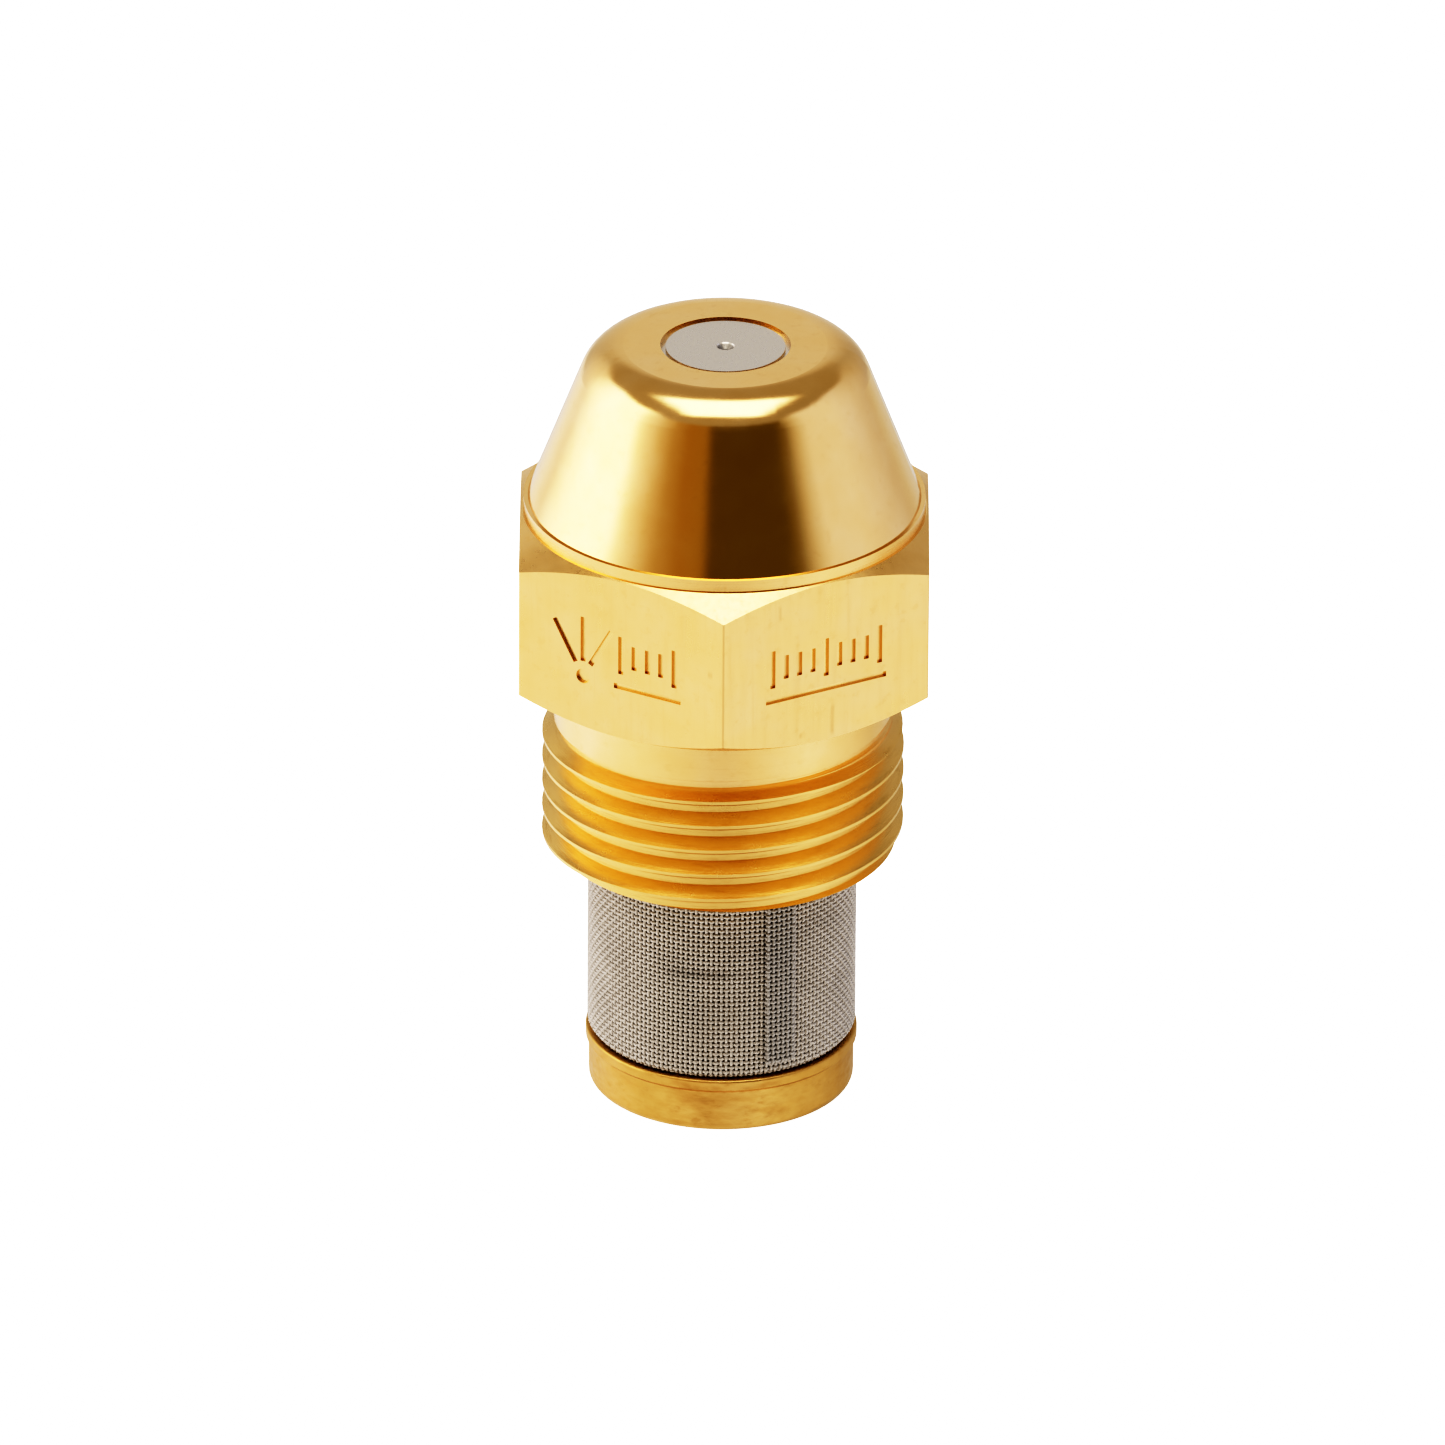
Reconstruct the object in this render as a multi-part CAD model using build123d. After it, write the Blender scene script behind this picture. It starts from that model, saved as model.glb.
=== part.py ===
from build123d import *
from math import atan2, ceil, cos, degrees, dist, radians, sin, sqrt, tan
import os

# Pressure-atomising oil burner nozzle with a screw-in gauze strainer. Millimetres, +Z is up and
# is the spray axis. The origin is on that axis, in the plane of the strainer cap's underside.
# One corner of the hexagon points along -Y.

# --- strainer, stacked upwards from Z = 0 ---
CAP_H = 2.3               # height of the cap's outer wall
CAP_D = 10.48             # outside of the cap's wall
CAP_WALL = 0.26
CAP_FLOOR = 0.9
CAP_LIP_OUT = 0.13        # rolled lip round the mouth, beyond the wall
CAP_LIP_H = 0.42
CAP_EDGE_R = 0.3          # rounding of the cap's lower edge
GAUZE_SHOWN = 8.1         # gauze between the cap's lip and the body's end face
GAUZE_D = 10.58           # outside of the gauze sleeve
GAUZE_T = 0.22            # woven thickness, two crossing wires
GAUZE_TUCK = 1.35         # length of sleeve tucked down inside the cap
GAUZE_SHOULDER = 0.34     # height over which the sleeve draws in above the lip
FLANGE_T = 0.6            # disc under the strainer's stem
BARREL_GROOVE_W = 0.5     # ring groove that collects the oil from the flutes
BARREL_GROOVE_DEPTH = 1.2
BARREL_GROOVE_DROP = 2.9  # flange's top face to the groove's middle
FLUTES = 16
FLUTE_W = 0.55
FLUTE_DEPTH = 0.4
INLET_HOLES = 6
INLET_D = 0.44
CORE_BORE_D = 3.6
CORE_FLOOR = 1.5          # solid end of the core under its bore
RIVET_D = 3.2             # stub of the core closed over in the cap's floor
RIVET_RECESS = 0.12
STEM_L = 3.6              # threaded stem of the strainer

# --- body ---
SHANK_L = 7.65            # body's end face to the hexagon's underside
THREAD_MAJOR = 14.24      # 9/16-24 thread, crests after machining
THREAD_PITCH = 25.4 / 24
THREAD_DEPTH = 0.58
THREAD_CLOCK = 0.46        # the groove's middle above the end face, on the +X side
SHANK_END_D = 13.35       # end face after the lead-in chamfer
NECK_L = 2.55             # unthreaded neck under the hexagon
NECK_D = 13.35
NECK_LEAD = 0.25          # run of the chamfer between thread and neck
HEX_AF = 16.0
HEX_H = 6.8
HEX_CHAMFER_IN = 0.06     # 30 degree chamfers on the corners start this far inside the flats
HEX_EDGE_R = 0.12         # upright edges, worn slightly round
LAND_IN = 0.13            # low round land on top of the hexagon, inside the flats
LAND_H = 0.5
CONE_BASE_IN = 0.17       # foot of the cone inside the land's edge
CONE_H = 6.45
CONE_HALF_ANGLE = 21.0
NOSE_R = 1.8              # rounding from the cone into the front face
NOSE_HOLE_D = 5.1
NOSE_WALL = 1.3           # shoulder in the nose that the orifice disc bears on
BORE_D = 7.2              # bore for the orifice disc and the distributor

# --- thread shared by the strainer's stem and the locking screw, M9 x 1 ---
INNER_MAJOR = 9.0
INNER_PITCH = 1.0
INNER_RELIEF = 1.0        # thread run-out groove at the top
INNER_RELIEF_DEPTH = 0.1  # beyond the thread's roots
INNER_TOP_UP = 12.6       # body's end face to the top of the run-out groove
MALE_CREST_DROP = 0.09    # male crests, inside the nominal thread
MOUTH_CHAMFER = 0.55
UNDERCUT_H = 1.05         # run-out between the strainer's flange and its thread

# --- orifice disc, distributor and locking screw ---
DISC_T = 1.5
DISC_BOSS_GAP = 0.21      # radial, in the nose hole
DISC_SINK = 0.06          # front of the disc below the nose
ORIFICE_D = 0.22
ORIFICE_L = 0.3
COUNTERSINK_D = 0.72
COUNTERSINK_H = 0.25
CHAMBER_D = 4.5
DIST_H = 3.4
DIST_SLOTS = 4
DIST_SLOT_W = 0.4
DIST_SLOT_DEPTH = 0.3
DIST_TIP_D = 1.1
DIST_SPIGOT_L = 1.2
DIST_FEED_W = 0.9
DIST_FEED_DEPTH = 0.6
LOCK_NECK_CLEAR = 0.4     # above the run-out groove before the screw's thread starts
LOCK_THREAD_L = 4.6
LOCK_BORE_D = 3.1
LOCK_PORT_D = 1.2
LOCK_PORTS = 4
DRIVER_SLOT_W = 1.2
DRIVER_SLOT_DEPTH = 1.3

# --- clearances ---
RUN = 0.06                # between pieces that turn or slide past each other
SEAT_GAP = 0.05           # strainer's flange to the body's end face
SLIP = 0.1                # radial, disc in the bore and spigot in the locking screw
DIST_SLIP = 0.2           # radial, distributor in the bore
OIL_GAP = 0.4             # radial passage round the locking screw's neck
CONE_GAP = 0.03           # distributor's cone to the disc's chamber

# --- incised marks on the two front flats ---
MARK_DEPTH = 0.12
MARK_LINE = 0.22

# derived heights
SEAT_Z = CAP_H + GAUZE_SHOWN
HEX_Z = SEAT_Z + SHANK_L
LAND_Z = HEX_Z + HEX_H
CONE_Z = LAND_Z + LAND_H
TOP_Z = CONE_Z + CONE_H
THREAD_TOP_Z = HEX_Z - NECK_L
SHOULDER_Z = TOP_Z - NOSE_WALL
INNER_TOP_Z = SEAT_Z + INNER_TOP_UP
DISC_Z = SHOULDER_Z - DISC_T
DIST_Z = DISC_Z - DIST_H
FLANGE_Z = SEAT_Z - SEAT_GAP
STEM_TOP_Z = FLANGE_Z + STEM_L
GAUZE_IN_R = GAUZE_D / 2 - GAUZE_T
BARREL_R = GAUZE_IN_R - RUN
TUCK_OUT_R = CAP_D / 2 - CAP_WALL - RUN
TUCK_IN_R = TUCK_OUT_R - GAUZE_T
GAUZE_BOTTOM_Z = CAP_H - GAUZE_TUCK
FOOT_R = min(TUCK_IN_R, GAUZE_IN_R) - RUN
BARREL_FOOT_Z = CAP_H + GAUZE_SHOULDER + 2 * RUN
HEX_R = HEX_AF / 2
LAND_R = HEX_R - LAND_IN
CONE_R = LAND_R - CONE_BASE_IN
DIST_R = BORE_D / 2 - DIST_SLIP
DIST_SPIGOT_D = LOCK_BORE_D - 2 * SLIP


def turned(*points):
    """Solid of revolution about Z from a closed outline of (radius, height) points. A point that
    falls on the one before it is left out."""
    corners = [p for n, p in enumerate(points) if dist(p, points[n - 1]) > 1e-6]
    outline = Polyline(*[(r, 0, z) for r, z in corners], close=True)
    return revolve(make_face(outline), Axis.Z)


def cylinder(diameter, z0, z1):
    return turned((0, z0), (diameter / 2, z0), (diameter / 2, z1), (0, z1))


def around(count, tool, start=0.0):
    """Copies of a tool turned evenly about Z."""
    return [Rot(Z=start + 360 * n / count) * tool for n in range(count)]


def radial_hole(diameter, z, reach, start=0.0):
    """Cylinder from the axis outwards."""
    rod = Pos(X=start + reach / 2) * Rot(Y=90) * Cylinder(diameter / 2, reach)
    return Pos(Z=z) * rod


def cut_thread(blank, outline, pitch, z_from, z_to, datum):
    """Cut a right-hand helical groove, turn by turn, its middle rising from z_from to z_to. outline
    holds (radius, offset along Z) about the middle, which passes height datum on the +X side."""
    section = make_face(Polyline(*[(r, 0, dz) for r, dz in outline], close=True))
    for n in range(ceil((z_to - z_from) / pitch)):
        start = z_from + n * pitch
        path = Helix(pitch, min(pitch, z_to - start), outline[0][0])
        turn = sweep(section, path, is_frenet=True)
        blank -= Pos(Z=start) * Rot(Z=360 * (start - datum) / pitch) * turn
    return blank


def groove_outline(r_open, half_open, r_root):
    """Outline of a 60 degree groove from its mouth, half_open to each side at r_open, to its root."""
    half_root = half_open - abs(r_root - r_open) * tan(radians(30))
    return [(r_open, -half_open), (r_root, -half_root), (r_root, half_root), (r_open, half_open)]


def inner_half_width(radius):
    """Half the axial width of the female groove of the inner thread at a radius."""
    pitch_r = INNER_MAJOR / 2 - 0.375 * (sqrt(3) / 2) * INNER_PITCH
    return INNER_PITCH / 4 + (pitch_r - radius) * tan(radians(30))


INNER_MINOR_R = INNER_MAJOR / 2 - 0.625 * (sqrt(3) / 2) * INNER_PITCH
MALE_CREST_R = INNER_MAJOR / 2 - MALE_CREST_DROP
MALE_ROOT_R = INNER_MINOR_R - RUN - 0.02
FLANK_GAP = RUN / cos(radians(30))   # the flanks' clearance, measured along Z
OPEN = 0.05                          # how far a groove's cutter stands out of its blank


def cut_female_thread(blank, z_from, z_to):
    r_open = INNER_MINOR_R - OPEN
    outline = groove_outline(r_open, inner_half_width(r_open), INNER_MAJOR / 2)
    return cut_thread(blank, outline, INNER_PITCH, z_from, z_to, SEAT_Z)


def cut_male_thread(blank, z_from, z_to):
    r_open = MALE_CREST_R + OPEN / 2
    half_open = INNER_PITCH / 2 - inner_half_width(r_open) + FLANK_GAP
    outline = groove_outline(r_open, half_open, MALE_ROOT_R)
    return cut_thread(blank, outline, INNER_PITCH, z_from, z_to, SEAT_Z + INNER_PITCH / 2)


def spray_mark():
    """Pictogram: a dot with three rays that fan out above it."""
    rays = [
        Pos(Y=-1.1) * Rot(Z=turn) * Pos(Y=1.6) * Rectangle(MARK_LINE, 1.9) for turn in (-30, 0, 30)
    ]
    return Sketch() + Pos(Y=-1.1) * Circle(0.3) + rays


def tick_mark(count):
    """Row of short upright ticks, every fourth one longer, over a thin rule."""
    step = 0.6
    ticks = [
        Pos(X=step * (n - (count - 1) / 2), Y=0.2) * Rectangle(MARK_LINE, 1.0 if n % 4 else 1.6)
        for n in range(count)
    ]
    return Sketch() + ticks + Pos(Y=-1.15) * Rectangle(step * count, MARK_LINE)


def on_flat(sketch, azimuth, along=0.0):
    """Cutter for a mark on the flat that faces azimuth, with the sketch's Y along +Z."""
    normal = Vector(cos(radians(azimuth)), sin(radians(azimuth)), 0)
    side = Vector(-normal.Y, normal.X, 0)
    centre = normal * HEX_R + side * along + Vector(0, 0, HEX_Z + HEX_H / 2)
    face = Plane(origin=centre, x_dir=side, z_dir=normal)
    return extrude(face * sketch, -MARK_DEPTH) + extrude(face * sketch, MARK_DEPTH)


def hexagon():
    """Hexagonal prism with rounded edges and both ends' corners turned off at 30 degrees."""
    prism = extrude(
        Pos(Z=HEX_Z) * RegularPolygon(HEX_R, 6, major_radius=False, rotation=30), HEX_H
    )
    prism = fillet(prism.edges().filter_by(Axis.Z), HEX_EDGE_R)
    r_chamfer, r_corner = HEX_R - HEX_CHAMFER_IN, HEX_AF / sqrt(3) + 1.0
    fall = (r_corner - r_chamfer) * tan(radians(30))
    envelope = turned(
        (0, HEX_Z), (r_chamfer, HEX_Z), (r_corner, HEX_Z + fall),
        (r_corner, LAND_Z - fall), (r_chamfer, LAND_Z), (0, LAND_Z),
    )
    return prism & envelope


def nozzle_body():
    major_r, neck_r, end_r = THREAD_MAJOR / 2, NECK_D / 2, SHANK_END_D / 2
    shank = turned(
        (0, SEAT_Z), (end_r, SEAT_Z), (major_r, SEAT_Z + (major_r - end_r)),
        (major_r, THREAD_TOP_Z), (neck_r, THREAD_TOP_Z + NECK_LEAD), (neck_r, HEX_Z), (0, HEX_Z),
    )
    r_open = major_r + OPEN
    crest = THREAD_PITCH / 8
    outline = groove_outline(
        r_open, (THREAD_PITCH - crest) / 2 + OPEN * tan(radians(30)), major_r - THREAD_DEPTH
    )
    shank = cut_thread(
        shank, outline, THREAD_PITCH, SEAT_Z - THREAD_PITCH / 2,
        THREAD_TOP_Z + NECK_LEAD + THREAD_PITCH / 2, SEAT_Z + THREAD_CLOCK,
    )
    top_r = CONE_R - CONE_H * tan(radians(CONE_HALF_ANGLE))
    nose = turned((0, CONE_Z), (CONE_R, CONE_Z), (top_r, TOP_Z), (0, TOP_Z))
    nose = fillet(nose.edges().filter_by(GeomType.CIRCLE).sort_by(Axis.Z)[-1], NOSE_R)
    body = shank + hexagon() + cylinder(2 * LAND_R, LAND_Z, CONE_Z) + nose
    mouth_r, relief_r = INNER_MINOR_R + MOUTH_CHAMFER, INNER_MAJOR / 2 + INNER_RELIEF_DEPTH
    body -= turned(
        (0, SEAT_Z), (mouth_r, SEAT_Z), (INNER_MINOR_R, SEAT_Z + mouth_r - INNER_MINOR_R),
        (INNER_MINOR_R, INNER_TOP_Z - INNER_RELIEF), (relief_r, INNER_TOP_Z - INNER_RELIEF),
        (relief_r, INNER_TOP_Z), (BORE_D / 2, INNER_TOP_Z), (BORE_D / 2, SHOULDER_Z),
        (NOSE_HOLE_D / 2, SHOULDER_Z), (NOSE_HOLE_D / 2, TOP_Z), (0, TOP_Z),
    )
    body = cut_female_thread(body, SEAT_Z - INNER_PITCH / 2, INNER_TOP_Z - INNER_RELIEF / 2)
    body -= on_flat(spray_mark(), 240, -1.7)
    body -= on_flat(tick_mark(5), 240, 1.2)
    return body - on_flat(tick_mark(9), 300)


def orifice_disc():
    front_z, boss_r = TOP_Z - DISC_SINK, NOSE_HOLE_D / 2 - DISC_BOSS_GAP
    throat_z = front_z - COUNTERSINK_H - ORIFICE_L
    return turned(
        (CHAMBER_D / 2, DISC_Z), (BORE_D / 2 - SLIP, DISC_Z), (BORE_D / 2 - SLIP, SHOULDER_Z),
        (boss_r, SHOULDER_Z), (boss_r, front_z), (COUNTERSINK_D / 2, front_z),
        (ORIFICE_D / 2, front_z - COUNTERSINK_H), (ORIFICE_D / 2, throat_z),
    )


def distributor():
    """Cone that spins the oil: slots offset from its axis in the flank, feed grooves down its sides."""
    throat_z = TOP_Z - DISC_SINK - COUNTERSINK_H - ORIFICE_L
    slope = (throat_z - DISC_Z) / (CHAMBER_D / 2 - ORIFICE_D / 2)
    root_r, tip_r = CHAMBER_D / 2 - CONE_GAP * sqrt(1 + slope ** 2) / slope, DIST_TIP_D / 2
    tip_z = DISC_Z + (root_r - tip_r) * slope
    body = turned(
        (0, DIST_Z - DIST_SPIGOT_L), (DIST_SPIGOT_D / 2, DIST_Z - DIST_SPIGOT_L),
        (DIST_SPIGOT_D / 2, DIST_Z), (DIST_R, DIST_Z), (DIST_R, DISC_Z),
        (root_r, DISC_Z), (tip_r, tip_z), (0, tip_z),
    )
    side = tip_r - DIST_SLOT_W / 2
    feed = Pos(X=DIST_R, Y=side, Z=(DIST_Z + DISC_Z) / 2) * Box(
        2 * DIST_FEED_DEPTH, DIST_FEED_W, DIST_H + 1
    )
    flank = Pos(X=(root_r + tip_r) / 2, Y=side, Z=(DISC_Z + tip_z) / 2)
    slot = flank * Rot(Y=degrees(atan2(slope, 1))) * Box(2 * DIST_R, DIST_SLOT_W, 2 * DIST_SLOT_DEPTH)
    return body - around(DIST_SLOTS, feed) - around(DIST_SLOTS, slot)


def locking_screw():
    """Hollow slotted screw that presses the distributor and the disc up into the nose."""
    thread_top = INNER_TOP_Z - INNER_RELIEF - LOCK_NECK_CLEAR
    z0 = thread_top - LOCK_THREAD_L
    lead = MALE_CREST_R - MALE_ROOT_R
    neck_r = min(BORE_D / 2, INNER_MINOR_R) - OIL_GAP
    screw = turned(
        (0, z0), (MALE_ROOT_R, z0), (MALE_CREST_R, z0 + lead), (MALE_CREST_R, thread_top - lead),
        (MALE_ROOT_R, thread_top), (neck_r, thread_top), (neck_r, DIST_Z), (0, DIST_Z),
    )
    screw = cut_male_thread(screw, z0 - INNER_PITCH / 2, thread_top + INNER_PITCH / 2)
    screw -= cylinder(LOCK_BORE_D, z0, DIST_Z)
    screw -= Pos(Z=z0) * Box(INNER_MAJOR + 1, DRIVER_SLOT_W, 2 * DRIVER_SLOT_DEPTH)
    port = radial_hole(LOCK_PORT_D, DIST_Z - DIST_SPIGOT_L - LOCK_PORT_D, 2 * neck_r)
    return screw - around(LOCK_PORTS, port, 45)


def strainer_core():
    """Threaded stem, flange and fluted barrel that the gauze is drawn over."""
    undercut_r = MALE_ROOT_R - 0.05
    lead = MALE_CREST_R - MALE_ROOT_R
    stem_z = FLANGE_Z + UNDERCUT_H
    blank = turned(
        (0, RIVET_RECESS), (RIVET_D / 2, RIVET_RECESS), (RIVET_D / 2, CAP_FLOOR),
        (FOOT_R, CAP_FLOOR), (FOOT_R, BARREL_FOOT_Z),
        (BARREL_R, BARREL_FOOT_Z + BARREL_R - FOOT_R), (BARREL_R, FLANGE_Z),
        (undercut_r, FLANGE_Z), (undercut_r, stem_z), (MALE_CREST_R, stem_z),
        (MALE_CREST_R, STEM_TOP_Z - lead), (MALE_ROOT_R, STEM_TOP_Z), (0, STEM_TOP_Z),
    )
    core = cut_male_thread(blank, FLANGE_Z + UNDERCUT_H / 2, STEM_TOP_Z + INNER_PITCH / 2)
    groove_z = FLANGE_Z - BARREL_GROOVE_DROP
    groove_r = BARREL_R - BARREL_GROOVE_DEPTH
    core -= turned(
        (groove_r, groove_z - BARREL_GROOVE_W / 2), (BARREL_R + 1, groove_z - BARREL_GROOVE_W / 2),
        (BARREL_R + 1, groove_z + BARREL_GROOVE_W / 2), (groove_r, groove_z + BARREL_GROOVE_W / 2),
    )
    flute_z0, flute_z1 = BARREL_FOOT_Z, FLANGE_Z - FLANGE_T
    flute = Pos(X=BARREL_R, Z=(flute_z0 + flute_z1) / 2) * Box(
        2 * FLUTE_DEPTH, FLUTE_W, flute_z1 - flute_z0
    )
    core -= around(FLUTES, flute)
    core -= cylinder(CORE_BORE_D, CAP_FLOOR + CORE_FLOOR, STEM_TOP_Z)
    return core - around(INLET_HOLES, radial_hole(INLET_D, groove_z, groove_r + 0.2))


def strainer_gauze():
    """Gauze as a plain sleeve of its woven thickness, drawn in where the cap's lip grips it."""
    out_r, top_z = GAUZE_D / 2, FLANGE_Z - SEAT_GAP
    low, high = CAP_H, CAP_H + GAUZE_SHOULDER
    return turned(
        (TUCK_IN_R, GAUZE_BOTTOM_Z), (TUCK_OUT_R, GAUZE_BOTTOM_Z), (TUCK_OUT_R, low),
        (out_r, high), (out_r, top_z), (GAUZE_IN_R, top_z), (GAUZE_IN_R, high), (TUCK_IN_R, low),
    )


def strainer_cap():
    """Shallow cup with a rolled lip, riveted on the core's end."""
    out_r, in_r = CAP_D / 2, CAP_D / 2 - CAP_WALL
    lip_r = out_r + CAP_LIP_OUT
    cup = turned(
        (0, 0), (out_r, 0), (out_r, CAP_H - CAP_LIP_H - CAP_LIP_OUT), (lip_r, CAP_H - CAP_LIP_H),
        (lip_r, CAP_H), (in_r, CAP_H), (in_r, CAP_FLOOR), (0, CAP_FLOOR),
    )
    rims = cup.edges().filter_by(GeomType.CIRCLE)
    cup = fillet(rims.sort_by(Axis.Z)[0], CAP_EDGE_R)
    lip = cup.edges().filter_by(GeomType.CIRCLE).group_by(Axis.Z)[-1].sort_by(SortBy.RADIUS)[-1]
    cup = fillet(lip, 0.1)
    return cup - cylinder(RIVET_D, 0, CAP_FLOOR)


PIECES = {
    "nozzle_body": nozzle_body,
    "orifice_disc": orifice_disc,
    "distributor": distributor,
    "locking_screw": locking_screw,
    "strainer_core": strainer_core,
    "strainer_gauze": strainer_gauze,
    "strainer_cap": strainer_cap,
}

os.makedirs("parts", exist_ok=True)
for node, make in PIECES.items():
    export_step(make(), f"parts/{node}.step")
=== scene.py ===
import math

import bpy
import numpy as np
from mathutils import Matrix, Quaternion, Vector


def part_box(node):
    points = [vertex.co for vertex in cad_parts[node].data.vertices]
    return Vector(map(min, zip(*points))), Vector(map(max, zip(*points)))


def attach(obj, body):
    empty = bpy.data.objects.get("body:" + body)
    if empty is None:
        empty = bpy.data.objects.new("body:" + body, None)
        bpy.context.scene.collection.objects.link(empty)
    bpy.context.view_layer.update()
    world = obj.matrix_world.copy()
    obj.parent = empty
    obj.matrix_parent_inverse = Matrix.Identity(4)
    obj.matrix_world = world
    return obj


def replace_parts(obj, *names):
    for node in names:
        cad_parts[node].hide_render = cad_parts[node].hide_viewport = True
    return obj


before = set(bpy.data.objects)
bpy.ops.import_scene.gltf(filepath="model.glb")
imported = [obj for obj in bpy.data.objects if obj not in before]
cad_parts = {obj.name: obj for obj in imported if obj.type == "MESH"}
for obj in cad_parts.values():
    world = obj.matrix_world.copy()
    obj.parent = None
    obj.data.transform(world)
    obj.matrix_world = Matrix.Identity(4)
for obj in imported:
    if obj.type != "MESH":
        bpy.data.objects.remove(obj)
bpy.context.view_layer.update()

MM = 0.001

# ---------------------------------------------------------------- camera
TARGET = Vector((-0.0247, 0.0, 15.403)) * MM
ELEVATION = math.radians(26.038)
DISTANCE = 846.94 * MM
ROLL = math.radians(0.367)
SENSOR_WIDTH = 36.0
LENS = 536.68


def make_camera():
    data = bpy.data.cameras.new("camera")
    data.sensor_width = SENSOR_WIDTH
    data.lens = LENS
    data.clip_start, data.clip_end = 0.01, 50.0
    camera = bpy.data.objects.new("camera", data)
    bpy.context.scene.collection.objects.link(camera)
    back = Vector((0, -math.cos(ELEVATION), math.sin(ELEVATION)))
    camera.location = TARGET + back * DISTANCE
    camera.rotation_mode = "QUATERNION"
    level = (-back).to_track_quat("-Z", "Y")
    camera.rotation_quaternion = level @ Quaternion((0, 0, 1), ROLL)
    bpy.context.scene.camera = camera


# ---------------------------------------------------------------- node helpers
class Graph:
    """Short names for building one node tree."""

    def __init__(self, tree):
        self.tree = tree
        tree.nodes.clear()

    def node(self, kind, inputs=(), **settings):
        made = self.tree.nodes.new(kind)
        for name, value in settings.items():
            setattr(made, name, value)
        for key, value in dict(inputs).items():
            self.put(made.inputs[key], value)
        return made

    def put(self, socket, value):
        if isinstance(value, bpy.types.NodeSocket):
            self.tree.links.new(value, socket)
        else:
            socket.default_value = value

    def math(self, operation, a, b=None, c=None, clamp=False):
        made = self.tree.nodes.new("ShaderNodeMath")
        made.operation, made.use_clamp = operation, clamp
        for socket, value in zip(made.inputs, (a, b, c)):
            if value is not None:
                self.put(socket, value)
        return made.outputs[0]

    def add(self, a, b):
        return self.math("ADD", a, b)

    def sub(self, a, b):
        return self.math("SUBTRACT", a, b)

    def mul(self, a, b):
        return self.math("MULTIPLY", a, b)

    def step(self, value, low, high, out_low=0.0, out_high=1.0):
        """Smooth step from out_low at low to out_high at high."""
        made = self.node(
            "ShaderNodeMapRange",
            {
                "Value": value,
                "From Min": low, "From Max": high,
                "To Min": out_low, "To Max": out_high,
            },
            interpolation_type="SMOOTHSTEP",
        )
        return made.outputs["Result"]

    def window(self, value, low, high, soft):
        """1 between low and high, falling to 0 over soft on both sides."""
        return self.mul(
            self.step(value, low - soft, low + soft), self.step(value, high + soft, high - soft)
        )

    def ramp(self, value, stops):
        """Colour between (place, colour) stops; a plain number stands for a grey."""
        made = self.node("ShaderNodeValToRGB", {"Fac": value})
        elements = made.color_ramp.elements
        while len(elements) < len(stops):
            elements.new(0.5)
        for element, (place, colour) in zip(elements, stops):
            element.position = place
            element.color = (*colour, 1.0) if isinstance(colour, tuple) else (colour,) * 3 + (1.0,)
        return made.outputs["Color"]

    def mix(self, share, a, b):
        """Colour a, with share of colour b."""
        made = self.node("ShaderNodeMix", data_type="RGBA")
        self.put(made.inputs[0], share)
        for socket, colour in ((made.inputs[6], a), (made.inputs[7], b)):
            self.put(socket, (*colour, 1.0) if isinstance(colour, tuple) else colour)
        return made.outputs[2]

    def noise(self, vector, scale, detail=2.0, rough=0.5):
        made = self.node(
            "ShaderNodeTexNoise",
            {"Vector": vector, "Scale": scale, "Detail": detail, "Roughness": rough},
        )
        return made.outputs["Fac"]

    def noise_line(self, value, scale, detail=2.0, rough=0.5):
        made = self.node(
            "ShaderNodeTexNoise",
            {"W": value, "Scale": scale, "Detail": detail, "Roughness": rough},
            noise_dimensions="1D",
        )
        return made.outputs["Fac"]


class Surface(Graph):
    """Node tree of one material, with the point in millimetres, its radius and its height."""

    def __init__(self, name):
        self.material = bpy.data.materials.new(name)
        self.material.use_nodes = True
        super().__init__(self.material.node_tree)
        coordinates = self.node("ShaderNodeTexCoord")
        scaled = self.node("ShaderNodeVectorMath", operation="SCALE")
        self.put(scaled.inputs[0], coordinates.outputs["Object"])
        scaled.inputs["Scale"].default_value = 1 / MM
        self.point = scaled.outputs[0]
        parts = self.node("ShaderNodeSeparateXYZ", {"Vector": self.point})
        self.x, self.y, self.z = parts.outputs
        squares = self.add(self.mul(self.x, self.x), self.mul(self.y, self.y))
        self.radius = self.math("SQRT", squares)

    def stretched(self, sx, sy, sz):
        """The point with its axes scaled, for noise that is longer one way."""
        made = self.node("ShaderNodeVectorMath", operation="MULTIPLY")
        self.put(made.inputs[0], self.point)
        made.inputs[1].default_value = (sx, sy, sz)
        return made.outputs[0]

    def metal(self, colour, roughness, bumps, **constants):
        """Principled metal over a chain of (height, strength, distance in mm) bumps."""
        shader = self.node("ShaderNodeBsdfPrincipled", {"Metallic": 1.0, **constants})
        self.put(shader.inputs["Base Color"], colour)
        self.put(shader.inputs["Roughness"], roughness)
        above = shader.inputs["Normal"]
        for height, strength, distance in reversed(bumps):
            bump = self.node("ShaderNodeBump", {"Height": height, "Distance": distance * MM})
            self.put(bump.inputs["Strength"], strength)
            self.put(above, bump.outputs["Normal"])
            above = bump.inputs["Normal"]
        output = self.node("ShaderNodeOutputMaterial")
        self.put(output.inputs["Surface"], shader.outputs["BSDF"])
        return self.material


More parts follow.
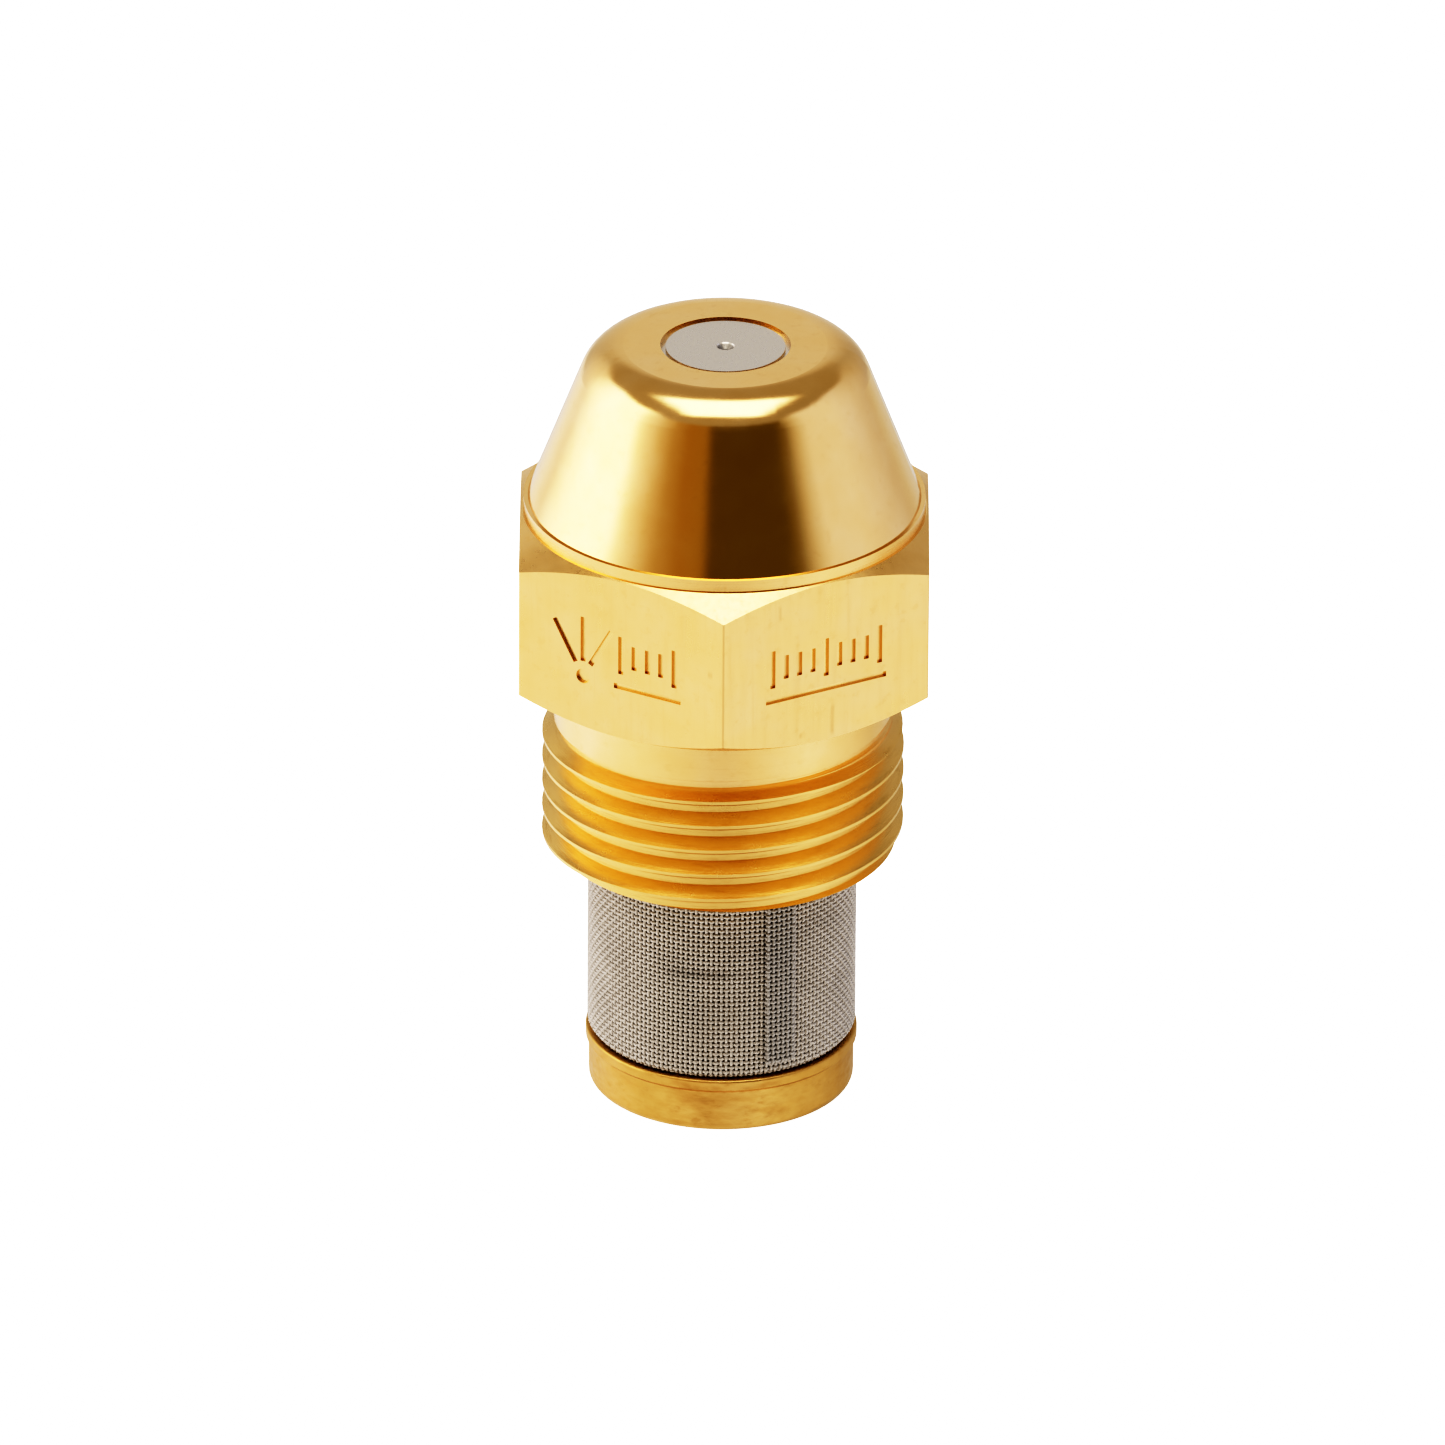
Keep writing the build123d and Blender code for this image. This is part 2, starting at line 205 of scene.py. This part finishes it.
# ---------------------------------------------------------------- the CAD part's sizes, mm
THREAD_Z = 15.5      # top of the thread
HEX_Z = 18.05        # hexagon's underside
LAND_Z = 24.85       # hexagon's top
CONE_Z = 25.35       # foot of the cone
body_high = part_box("nozzle_body")[1]
TOP_Z = body_high[2] / MM       # nose's end face
HEX_R = body_high[0] / MM       # axis to a flat
ROOT_R = 6.6         # just outside the external thread's roots
CREST_R = 7.0        # just inside its crests
DISC_BOSS_R = 2.34
NOSE_HOLE_R = 2.55

# rubbed places on the hexagon's front flats, mm: across, height, half width, half height; then the
# share of the rubbed colour
WEAR = [
    (4.25, 18.9, 0.07, 0.62, 0.45),
    (3.07, 18.5, 0.06, 0.06, 0.60),
    (-0.55, 21.8, 0.08, 0.10, 0.50),
    (2.20, 24.0, 0.05, 0.30, 0.30),
]
RUBBED = (0.58, 0.36, 0.16)


# ---------------------------------------------------------------- materials
def body_brass():
    s = Surface("body_brass")
    cone = s.step(s.z, CONE_Z - 0.05, CONE_Z + 0.05)
    outside = s.step(s.radius, HEX_R - 0.1, HEX_R - 0.04)
    hexagon = s.mul(s.window(s.z, HEX_Z + 0.02, LAND_Z + 0.02, 0.02), outside)
    thread = s.step(s.z, THREAD_Z + 0.35, THREAD_Z + 0.05)
    # painted shade: the thread's roots a little darker, where shade falls between the crests
    root_shade = s.mul(thread, s.step(s.radius, CREST_R, ROOT_R))
    smooth = s.sub(1.0, s.mul(thread, 0.7))

    # turning marks run round the axis, drawn marks along the hexagon and streaks round the thread
    lathe = s.sub(s.radius, s.z)
    wobble = s.noise(s.point, 0.35, 1.0)
    turning = s.noise_line(s.add(lathe, s.mul(wobble, 0.03)), 16.0, 3.0, 0.6)
    drawn = s.noise(s.stretched(4.0, 4.0, 0.25), 1.0, 3.0, 0.6)
    streak = s.noise(s.stretched(0.9, 0.9, 12.0), 1.0, 3.0, 0.6)
    grain = s.noise(s.point, 22.0, 2.0, 0.6)
    broad = s.noise(s.point, 0.55, 2.0, 0.55)
    mottle = s.noise(s.point, 2.6, 3.0, 0.6)

    colour = s.ramp(broad, [
        (0.3, (0.885, 0.605, 0.290)), (0.5, (0.900, 0.625, 0.312)), (0.7, (0.910, 0.645, 0.340)),
    ])
    for share, tint in (
        (s.mul(s.step(mottle, 0.56, 0.72, 0.0, 0.3), smooth), (0.84, 0.56, 0.26)),
        (s.mul(thread, 0.8), (0.845, 0.59, 0.26)),
        # painted shade in the thread's roots
        (s.mul(root_shade, 0.25), (0.74, 0.50, 0.22)),
        (s.mul(s.step(streak, 0.5, 0.72, 0.0, 0.45), thread), (0.68, 0.45, 0.17)),
        (s.mul(s.step(drawn, 0.55, 0.75, 0.0, 0.2), hexagon), (0.82, 0.55, 0.26)),
    ):
        colour = s.mix(share, colour, tint)

    front_flats = s.mul(s.step(s.y, -4.0, -4.5), hexagon)
    ragged = s.add(s.x, s.mul(s.sub(wobble, 0.5), 0.3))
    for x, z, half_width, half_height, share in WEAR:
        spot = s.mul(
            s.window(ragged, x - half_width, x + half_width, 0.05),
            s.window(s.z, z - half_height, z + half_height, 0.15),
        )
        worn = s.mul(s.mul(spot, front_flats), s.step(drawn, 0.3, 0.6, 0.5 * share, share))
        colour = s.mix(worn, colour, RUBBED)

    rough = s.step(broad, 0.3, 0.7, 0.11, 0.16)
    for extra in (
        s.mul(hexagon, s.step(drawn, 0.3, 0.7, 0.10, 0.16)),
        s.mul(s.sub(1.0, cone), 0.05),
        s.mul(s.step(mottle, 0.5, 0.75, 0.0, 0.05), smooth),
        s.mul(thread, 0.06),
    ):
        rough = s.add(rough, extra)

    turned = s.mul(s.sub(1.0, hexagon), s.add(0.06, s.mul(s.sub(1.0, cone), 0.2)))
    return s.metal(colour, rough, [
        (turning, turned, 0.02), (drawn, s.mul(hexagon, 0.1), 0.02), (grain, s.mul(smooth, 0.03), 0.01),
    ])


def inner_brass():
    s = Surface("inner_brass")
    lathe = s.sub(s.radius, s.z)
    turning = s.noise_line(lathe, 14.0, 3.0, 0.6)
    broad = s.noise(s.point, 0.9, 3.0, 0.6)
    grain = s.noise(s.point, 18.0, 2.0, 0.6)
    colour = s.ramp(broad, [(0.3, (0.70, 0.46, 0.21)), (0.7, (0.84, 0.58, 0.28))])
    rough = s.step(broad, 0.3, 0.7, 0.24, 0.36)
    return s.metal(colour, rough, [(turning, 0.35, 0.02), (grain, 0.1, 0.01)])


def cap_brass():
    s = Surface("cap_brass")
    smear = s.noise(s.stretched(0.5, 0.5, 1.6), 1.0, 4.0, 0.6)
    mottle = s.noise(s.stretched(1.6, 1.6, 3.2), 1.0, 3.0, 0.65)
    grain = s.noise(s.point, 16.0, 2.0, 0.6)
    dents = s.noise(s.point, 1.1, 2.0, 0.5)
    # darker than the nozzle's brass: partly the cap's own duller brass, partly painted shade for the
    # shadowed floor that the cap reflects
    colour = s.ramp(smear, [
        (0.30, (0.62, 0.380, 0.15)), (0.45, (0.72, 0.465, 0.19)),
        (0.60, (0.80, 0.540, 0.24)), (0.72, (0.70, 0.450, 0.18)),
    ])
    # tarnish in spots; painted shade along the lower edge and on both sides
    colour = s.mix(s.step(mottle, 0.55, 0.75, 0.0, 0.5), colour, (0.60, 0.36, 0.13))
    # painted shade: darker towards the lower edge, next to the floor
    colour = s.mix(s.step(s.z, 0.45, 0.1, 0.0, 0.45), colour, (0.55, 0.34, 0.13))
    # painted shade: darker on the cap's left and right sides
    side_shade = s.step(s.math("ABSOLUTE", s.x), 1.2, 3.2, 0.0, 0.6)
    colour = s.mix(s.mul(side_shade, s.step(smear, 0.2, 0.6, 0.7, 1.0)), colour, (0.52, 0.33, 0.115))
    rough = s.step(mottle, 0.3, 0.7, 0.34, 0.46)
    return s.metal(colour, rough, [(dents, 0.35, 0.12), (mottle, 0.15, 0.05), (grain, 0.1, 0.01)])


def disc_steel():
    s = Surface("disc_steel")
    rings = s.noise_line(s.sub(s.radius, s.z), 22.0, 2.0, 0.6)
    scuff = s.noise(s.stretched(7.0, 2.4, 2.4), 1.0, 4.0, 0.65)
    grain = s.noise(s.point, 30.0, 2.0, 0.6)
    colour = s.ramp(scuff, [
        (0.30, (0.75, 0.690, 0.600)), (0.55, (0.80, 0.735, 0.645)), (0.75, (0.83, 0.770, 0.680)),
    ])
    # painted shade: the orifice's bore painted near black and its countersink darkened, where shade
    # falls in the hole
    bore_shade = s.step(s.radius, 0.18, 0.12)
    dimple = s.step(s.radius, 0.34, 0.30)
    colour = s.mix(s.mul(dimple, 0.9), colour, (0.36, 0.33, 0.29))
    colour = s.mix(bore_shade, colour, (0.06, 0.05, 0.04))
    rough = s.add(s.step(scuff, 0.3, 0.7, 0.26, 0.38), s.mul(dimple, 0.15))
    return s.metal(colour, rough, [(rings, 0.08, 0.02), (scuff, 0.06, 0.02), (grain, 0.01, 0.01)])


def gauze_wire():
    s = Surface("gauze_wire")
    stain = s.noise(s.point, 0.45, 3.0, 0.6)
    fleck = s.noise(s.point, 5.0, 2.0, 0.6)
    colour = s.ramp(stain, [
        (0.3, (0.480, 0.44, 0.395)), (0.5, (0.525, 0.48, 0.430)), (0.7, (0.555, 0.51, 0.460)),
    ])
    colour = s.mix(s.step(fleck, 0.55, 0.75, 0.0, 0.3), colour, (0.45, 0.40, 0.345))
    # painted shade: a faint dark line on the front wires, for the core's groove seen through the gauze;
    # and the darker outer layer of the lap
    groove_shade_band = s.mul(s.window(s.z, 6.75, 7.05, 0.12), s.window(s.x, -2.0, 0.6, 0.9))
    front_groove_shade = s.mul(groove_shade_band, s.step(s.y, -3.5, -4.2))
    colour = s.mix(s.mul(front_groove_shade, 0.55), colour, (0.30, 0.27, 0.24))
    colour = s.mix(s.mul(s.step(s.radius, 5.31, 5.34), 0.6), colour, (0.38, 0.36, 0.34))
    rough = s.step(fleck, 0.3, 0.7, 0.5, 0.62)
    return s.metal(colour, rough, [(fleck, 0.1, 0.01)], Metallic=0.55)


def dress_cad():
    looks = {
        "nozzle_body": body_brass(),
        "orifice_disc": disc_steel(),
        "locking_screw": inner_brass(),
        "strainer_cap": cap_brass(),
    }
    looks["distributor"] = looks["orifice_disc"]
    looks["strainer_core"] = looks["locking_screw"]
    for name, material in looks.items():
        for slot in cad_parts[name].material_slots:
            slot.material = material
    return looks


# ---------------------------------------------------------------- pieces
def mesh_object(name, verts, faces, material):
    """Object from points in millimetres."""
    mesh = bpy.data.meshes.new(name)
    mesh.from_pydata([tuple(v * MM) for v in np.asarray(verts, float)], [], faces)
    mesh.materials.append(material)
    mesh.update()
    made = bpy.data.objects.new(name, mesh)
    bpy.context.scene.collection.objects.link(made)
    return made


def at_angle(angle, radius, z):
    """Point at an angle from the front, counted towards the right."""
    return (radius * math.sin(angle), -radius * math.cos(angle), z)


# woven gauze: height and middle radius down the sleeve, drawn in under the cap's lip
SLEEVE = [
    (0.95, 4.80), (2.24, 4.80), (2.32, 4.82), (2.40, 5.00),
    (2.50, 5.13), (2.58, 5.17), (2.70, 5.18), (10.3, 5.18),
]
WIRE_R = 0.07
WIRE_SIDES = 5
WARPS = 162                 # upright wires, an even number so that the weave closes
WEFT_PITCH = 0.2
RING_FIRST, RING_LAST = SLEEVE[0][0] + WIRE_R, SLEEVE[-1][0] - WIRE_R
WEFTS = int((RING_LAST - RING_FIRST) / WEFT_PITCH) + 1
RING_STEP = (RING_LAST - RING_FIRST) / (WEFTS - 1)
LAP_WARPS = range(9, 15)    # the sheet's end lies over its start, right of the front
LAP_RISE = 2.8 * WIRE_R
LAP_BOTTOM = 2.85


def on_sleeve(angle, z, lift):
    """Point that stands off the sleeve's middle by lift."""
    return at_angle(angle, float(np.interp(z, *zip(*SLEEVE))) + lift, z)


class Wires:
    """Round wires, gathered into one mesh."""

    def __init__(self):
        self.verts, self.faces = [], []

    def tube(self, points, closed):
        """Tube along the points, its section set out from the axis and across it."""
        points = np.asarray(points, float)
        count = len(points)
        if closed:
            run = np.roll(points, -1, 0) - np.roll(points, 1, 0)
        else:
            run = np.gradient(points, axis=0)
        run /= np.linalg.norm(run, axis=1)[:, None]
        out = points * (1, 1, 0)
        out /= np.linalg.norm(out, axis=1)[:, None]
        side = np.cross(run, out)
        side /= np.linalg.norm(side, axis=1)[:, None]
        out = np.cross(side, run)
        base = len(self.verts)
        for point, up, across in zip(points, out, side):
            for k in range(WIRE_SIDES):
                a = 2 * math.pi * (k + 0.5) / WIRE_SIDES
                self.verts.append(point + WIRE_R * (math.cos(a) * up + math.sin(a) * across))
        for n in range(count if closed else count - 1):
            here, there = base + n * WIRE_SIDES, base + (n + 1) % count * WIRE_SIDES
            for k in range(WIRE_SIDES):
                j = (k + 1) % WIRE_SIDES
                self.faces.append((here + k, here + j, there + j, there + k))
        if not closed:
            last = base + (count - 1) * WIRE_SIDES
            self.faces.append([base + k for k in range(WIRE_SIDES)][::-1])
            self.faces.append([last + k for k in range(WIRE_SIDES)])

    def warp(self, number, half_rows, rise=0.0):
        """Upright wire, over and under the rings that it crosses."""
        angle = 2 * math.pi * number / WARPS
        points = []
        for n in half_rows:
            z = min(max(RING_FIRST + n * RING_STEP / 2, SLEEVE[0][0]), SLEEVE[-1][0])
            wave = math.cos(math.pi * (n / 2 + number))
            points.append(on_sleeve(angle, z, rise + WIRE_R * wave))
        self.tube(points, False)

    def weft(self, ring, half_warps, rise=0.0, closed=True):
        """Wire round the sleeve, or part of the way."""
        z = RING_FIRST + ring * RING_STEP
        points = []
        for n in half_warps:
            wave = math.cos(math.pi * (ring + n / 2))
            points.append(on_sleeve(math.pi * n / WARPS, z, rise - WIRE_R * wave))
        self.tube(points, closed)

    def piece(self, name, material):
        made = mesh_object(name, self.verts, self.faces, material)
        made.data.polygons.foreach_set("use_smooth", [len(f) == 4 for f in self.faces])
        made.data.update()
        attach(made, "gauze_sleeve")
        return made


def weave_gauze():
    material = gauze_wire()
    upright = Wires()
    for number in range(WARPS):
        upright.warp(number, range(-1, 2 * WEFTS))
    round_about = Wires()
    for ring in range(WEFTS):
        round_about.weft(ring, range(2 * WARPS))
    for wires, name in ((upright, "gauze_warp"), (round_about, "gauze_weft")):
        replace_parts(wires.piece(name, material), "strainer_gauze")

    lap = Wires()
    rings = [ring for ring in range(WEFTS) if RING_FIRST + ring * RING_STEP > LAP_BOTTOM]
    for number in LAP_WARPS:
        lap.warp(number, range(2 * rings[0] - 1, 2 * rings[-1] + 2), LAP_RISE)
    for ring in rings:
        lap.weft(ring, range(2 * LAP_WARPS[0] - 1, 2 * LAP_WARPS[-1] + 2), LAP_RISE, closed=False)
    lap.piece("gauze_lap", material)


def close_disc_gap(material):
    """Ring sunk in the gap between the disc's boss and the nose."""
    inner, outer = DISC_BOSS_R - 0.01, NOSE_HOLE_R + 0.01
    top, foot = TOP_Z - 0.22, TOP_Z - 0.42
    count = 96
    verts, faces = [], []
    for n in range(count):
        angle = 2 * math.pi * n / count
        m = (n + 1) % count
        for radius, z in ((inner, foot), (outer, foot), (outer, top), (inner, top)):
            verts.append(at_angle(angle, radius, z))
        for k in range(4):
            j = (k + 1) % 4
            faces.append((4 * n + k, 4 * m + k, 4 * m + j, 4 * n + j))
    ring = mesh_object("disc_ring", verts, faces, material)
    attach(ring, "nozzle")


# ---------------------------------------------------------------- floor and light
FLOOR_HALF = 3000.0


def make_floor():
    material = bpy.data.materials.new("floor_white")
    material.use_nodes = True
    g = Graph(material.node_tree)
    shader = g.node("ShaderNodeBsdfPrincipled", {
        "Base Color": (0.9, 0.9, 0.9, 1.0), "Roughness": 0.8,
        "Emission Color": (1.0, 1.0, 1.0, 1.0), "Emission Strength": 0.8,
    })
    output = g.node("ShaderNodeOutputMaterial")
    g.put(output.inputs["Surface"], shader.outputs["BSDF"])
    half = FLOOR_HALF
    corners = [(-half, -half, 0), (half, -half, 0), (half, half, 0), (-half, half, 0)]
    floor = mesh_object("floor", corners, [(0, 1, 2, 3)], material)
    floor.visible_glossy = False


# radiance of the tent by azimuth in degrees, 0 towards the camera and positive to its right; one
# number is a grey
WALLS = [
    (-180, (0.45, 0.45, 0.47)), (-157, 0.36), (-134, (0.60, 0.60, 0.66)), (-116, (1.1, 1.1, 1.15)),
    (-104, 1.3), (-74, 1.3), (-66, 0.80), (-60, (0.62, 0.61, 0.62)), (-50, (0.45, 0.42, 0.38)),
    (-40, (0.33, 0.28, 0.19)), (-28, (0.27, 0.205, 0.105)), (-14, (0.26, 0.203, 0.10)),
    (-9, (0.125, 0.105, 0.05)), (39, (0.125, 0.107, 0.045)), (46, (0.18, 0.165, 0.11)),
    (55, 0.385), (65, (0.53, 0.55, 0.64)), (90, (0.535, 0.56, 0.67)), (115, (0.46, 0.485, 0.60)),
    (140, (0.36, 0.36, 0.38)), (157, 0.30), (180, (0.45, 0.45, 0.47)),
]
GROUND = [
    (-180, 0.45), (-135, (0.75, 0.75, 0.80)), (-105, (0.80, 0.80, 0.92)), (-80, (0.72, 0.72, 0.75)),
    (-60, 0.69), (0, (0.51, 0.50, 0.50)), (60, (0.69, 0.70, 0.73)), (100, (0.56, 0.56, 0.58)),
    (120, (0.45, 0.44, 0.42)), (150, 0.42), (180, 0.45),
]
CEILING = [
    (-180, (0.27, 0.26, 0.24)), (-90, (0.29, 0.28, 0.26)), (-30, (0.285, 0.275, 0.255)),
    (30, (0.26, 0.25, 0.23)), (90, (0.25, 0.24, 0.22)), (180, (0.27, 0.26, 0.24)),
]
# elevation in degrees where the walls meet the ceiling, a little higher at the sides
WALL_TOPS = [
    (-180, 32.0), (-130, 32.0), (-110, 39.5), (-62, 39.5), (-50, 33.5),
    (50, 33.5), (62, 39.5), (110, 39.5), (130, 32.0), (180, 32.0),
]
BOX = 1.6            # radiance of the overhead box
BRIGHTEST = 2.0      # a ramp holds colours up to 1, so the world keeps its own at half strength


def by_azimuth(rows, scale):
    """Ramp stops from (azimuth, colour) rows, the colours divided by scale."""
    return [
        (
            (azimuth + 180.0) / 360.0,
            tuple(c / scale for c in colour) if isinstance(colour, tuple) else colour / scale,
        )
        for azimuth, colour in rows
    ]


def light_world():
    """Studio tent: white wall on the left, dark flag in front, grey wall on the right, box overhead."""
    world = bpy.data.worlds.new("studio")
    bpy.context.scene.world = world
    world.use_nodes = True
    g = Graph(world.node_tree)
    coordinates = g.node("ShaderNodeTexCoord")
    parts = g.node("ShaderNodeSeparateXYZ", {"Vector": coordinates.outputs["Generated"]})
    x, y, z = parts.outputs
    turn = g.math("ARCTAN2", x, g.mul(y, -1.0))
    place = g.math("MULTIPLY_ADD", turn, 0.5 / math.pi, 0.5)
    rise = g.mul(g.math("ARCSINE", z), 180 / math.pi)

    walls, ground, ceiling = (
        g.ramp(place, by_azimuth(rows, BRIGHTEST)) for rows in (WALLS, GROUND, CEILING)
    )
    wall_top = g.mul(g.ramp(place, by_azimuth(WALL_TOPS, 100.0)), 100.0)
    sky = g.mix(g.step(g.sub(rise, wall_top), -4.0, 4.0), walls, ceiling)
    sky = g.mix(g.step(rise, -6.0, -14.0), sky, ground)

    # overhead box, in the plane one unit above the object
    height = g.math("MAXIMUM", z, 0.01)
    across, along = g.math("DIVIDE", x, height), g.math("DIVIDE", y, height)
    box = g.mul(
        g.window(across, -0.5, 0.5, 0.16), g.mul(g.step(along, -0.74, -0.5), g.step(along, 0.34, 0.12))
    )
    box = g.mul(box, g.step(z, 0.2, 0.3))
    sky = g.mix(box, sky, (BOX / BRIGHTEST,) * 3)
    background = g.node("ShaderNodeBackground", {"Color": sky, "Strength": BRIGHTEST})
    output = g.node("ShaderNodeOutputWorld")
    g.put(output.inputs["Surface"], background.outputs["Background"])


# scene radiance to picture radiance: a studio camera's contrast, with a toe and a soft shoulder
TONES = [
    (0.0, 0.0), (0.05, 0.0075), (0.1, 0.045), (0.15, 0.125), (0.2, 0.23), (0.3, 0.475), (0.4, 0.67),
    (0.5, 0.80), (0.6, 0.88), (0.8, 0.963), (1.0, 1.0),
]


def set_tones():
    view = bpy.context.scene.view_settings
    view.view_transform = "Standard"
    view.use_curve_mapping = True
    mapping = view.curve_mapping
    mapping.extend = "HORIZONTAL"
    combined = mapping.curves[3]
    for place, value in TONES[1:-1]:      # the curve has its two end points already
        combined.points.new(place, value)
    mapping.update()


make_camera()
looks = dress_cad()
weave_gauze()
close_disc_gap(looks["orifice_disc"])
make_floor()
light_world()
set_tones()
